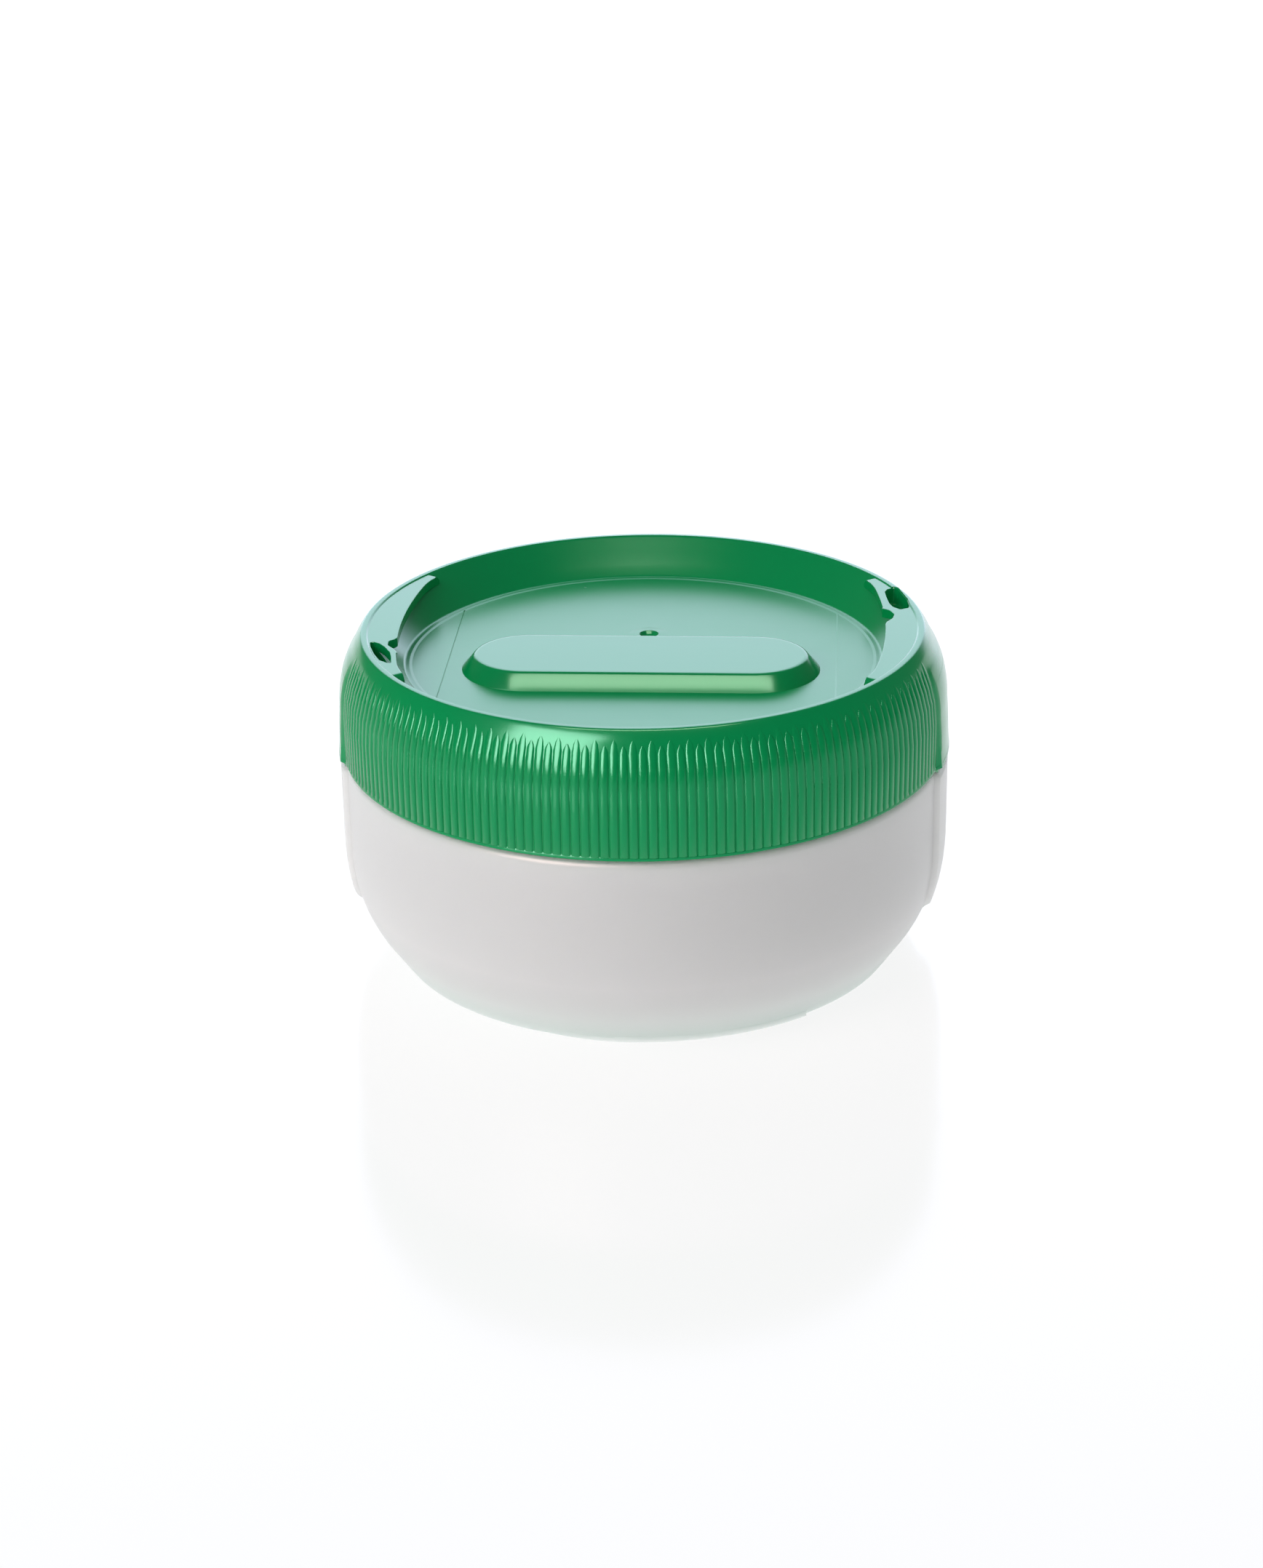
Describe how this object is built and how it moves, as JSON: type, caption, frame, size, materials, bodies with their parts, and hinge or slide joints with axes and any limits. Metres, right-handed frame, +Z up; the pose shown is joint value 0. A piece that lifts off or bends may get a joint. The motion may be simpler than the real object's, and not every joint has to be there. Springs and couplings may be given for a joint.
{
  "type": "round screw-lid stacking jar",
  "caption": "Small round stackable storage jar with a frosted bowl, a ribbed one-piece screw lid and a sealing ring.",
  "frame": {"origin": "on the jar's axis, in the plane that its foot stands on", "axes": "+Z up along the jar's axis, +X through one of the two grip pads, -Y towards the front"},
  "size_m": [0.1002, 0.0988, 0.0545],
  "materials": {
    "frosted_bowl": "frosted, lets light through",
    "green_lid": "smooth, low gloss",
    "seal_ring": "matte silicone"
  },
  "bodies": {
    "jar": {"bowl": "frosted_bowl"},
    "seal": {"seal_ring": "seal_ring"},
    "lid": {"lid": "green_lid"}
  },
  "joints": [
    {"name": "lid_lift", "type": "slide", "parent": "jar", "child": "seal", "axis": [0, 0, 1], "range_m": [0, 0.0181]},
    {"name": "lid_turn", "type": "hinge", "parent": "seal", "child": "lid", "pos_m": [0, 0, 0.045], "axis": [0, 0, 1], "range_deg": [0, 540]}
  ],
  "couplings": [
    {"joint": "lid_lift", "follows": "lid_turn", "m_per_rad": 0.0019099}
  ]
}
